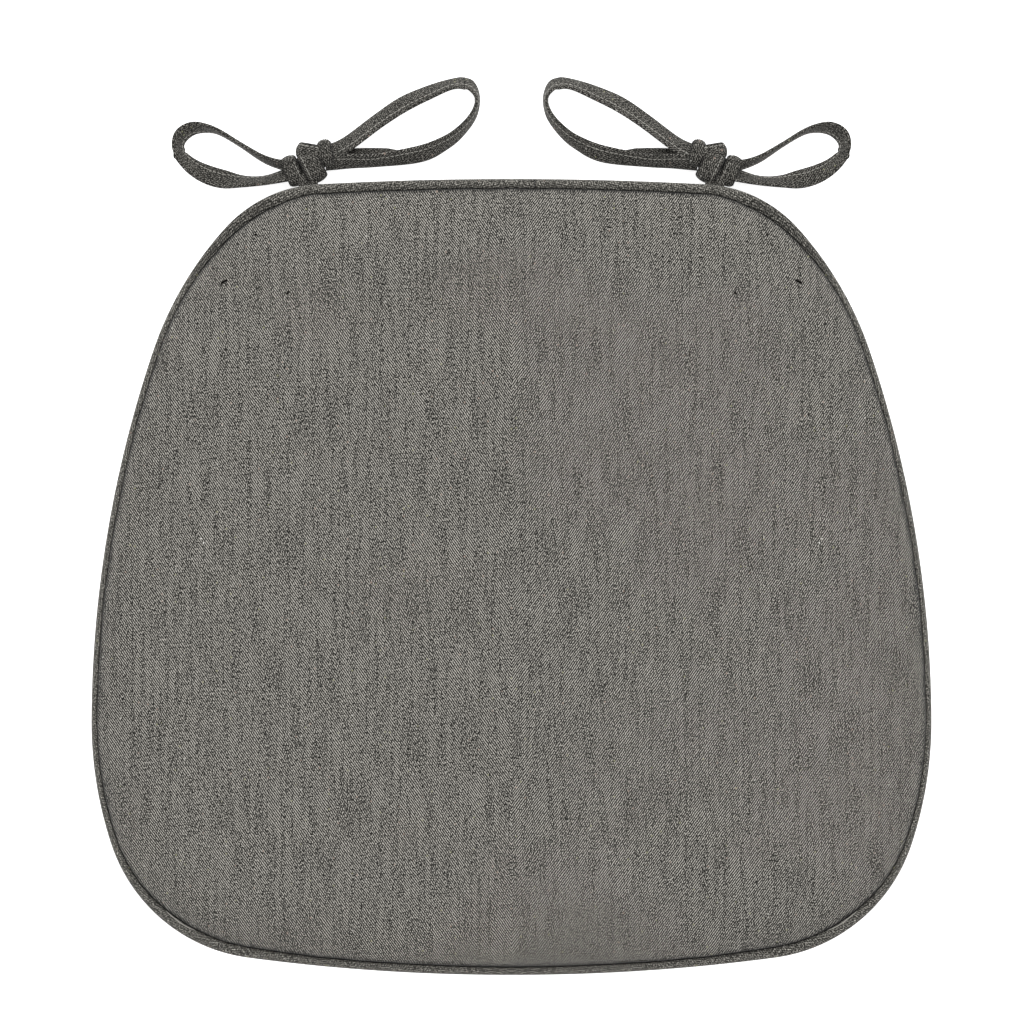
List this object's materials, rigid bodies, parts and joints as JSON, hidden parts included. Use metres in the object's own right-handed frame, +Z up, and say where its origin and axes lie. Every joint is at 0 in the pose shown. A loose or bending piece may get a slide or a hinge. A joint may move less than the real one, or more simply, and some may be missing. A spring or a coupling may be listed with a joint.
{
  "type": "chair seat pad",
  "caption": "Flat D-shaped tie-on chair seat pad with piped edge, foam filling, zip in the underside and a fabric bow at each back corner.",
  "frame": {"origin": "on the surface the pad lies on, below the middle of the cover's outline, without the ties", "axes": "+X to the right across the pad, +Y to the back of the chair where the ties are, +Z up"},
  "size_m": [0.4296, 0.4578, 0.03],
  "materials": {
    "cover_cloth": "grey melange twill",
    "piping_cloth": "grey melange twill, cut on the bias",
    "tie_cloth": "grey melange twill, folded and topstitched",
    "filler_cord": "twisted cotton",
    "wadding": "polyester fibre",
    "foam": "open-cell foam",
    "zip_tape": "woven tape",
    "zip_coil": "nylon coil",
    "zip_metal": "dull nickel"
  },
  "bodies": {
    "pad": {"top_panel": "cover_cloth", "bottom_panel_front": "cover_cloth", "bottom_panel_rear": "cover_cloth", "piping_strip": "piping_cloth", "piping_cord": "filler_cord", "foam_core": "foam", "wadding_top": "wadding", "wadding_bottom": "wadding", "zip_tape_front": "zip_tape", "zip_tape_rear": "zip_tape", "zip_coil_front": "zip_coil", "zip_coil_rear": "zip_coil", "zip_top_stop_front": "zip_metal", "zip_top_stop_rear": "zip_metal", "zip_bottom_stop": "zip_metal", "tie_left_seam_end": "tie_cloth", "tie_right_seam_end": "tie_cloth"},
    "zip_runner": {"zip_slider": "zip_metal"},
    "zip_tongue": {"zip_pull": "zip_metal"},
    "tie_left": {"tie_left_leg": "tie_cloth", "tie_left_knot": "tie_cloth", "tie_left_inner_loop": "tie_cloth", "tie_left_outer_loop": "tie_cloth"},
    "tie_right": {"tie_right_leg": "tie_cloth", "tie_right_knot": "tie_cloth", "tie_right_inner_loop": "tie_cloth", "tie_right_outer_loop": "tie_cloth"}
  },
  "joints": [
    {"name": "zip_slide", "type": "slide", "parent": "pad", "child": "zip_runner", "axis": [-1, 0, 0], "range_m": [0, 0.22]},
    {"name": "pull_swing", "type": "hinge", "parent": "zip_runner", "child": "zip_tongue", "pos_m": [0.10995, 0.14975, 0.00085], "axis": [0, -1, 0], "range_deg": [0, 150]},
    {"name": "tie_left_lift", "type": "hinge", "parent": "pad", "child": "tie_left", "pos_m": [-0.10371, 0.1979, 0.015], "axis": [0.993, 0.1179, 0], "range_deg": [0, 120]},
    {"name": "tie_right_lift", "type": "hinge", "parent": "pad", "child": "tie_right", "pos_m": [0.10371, 0.1979, 0.015], "axis": [0.993, -0.1179, 0], "range_deg": [0, 120]}
  ]
}
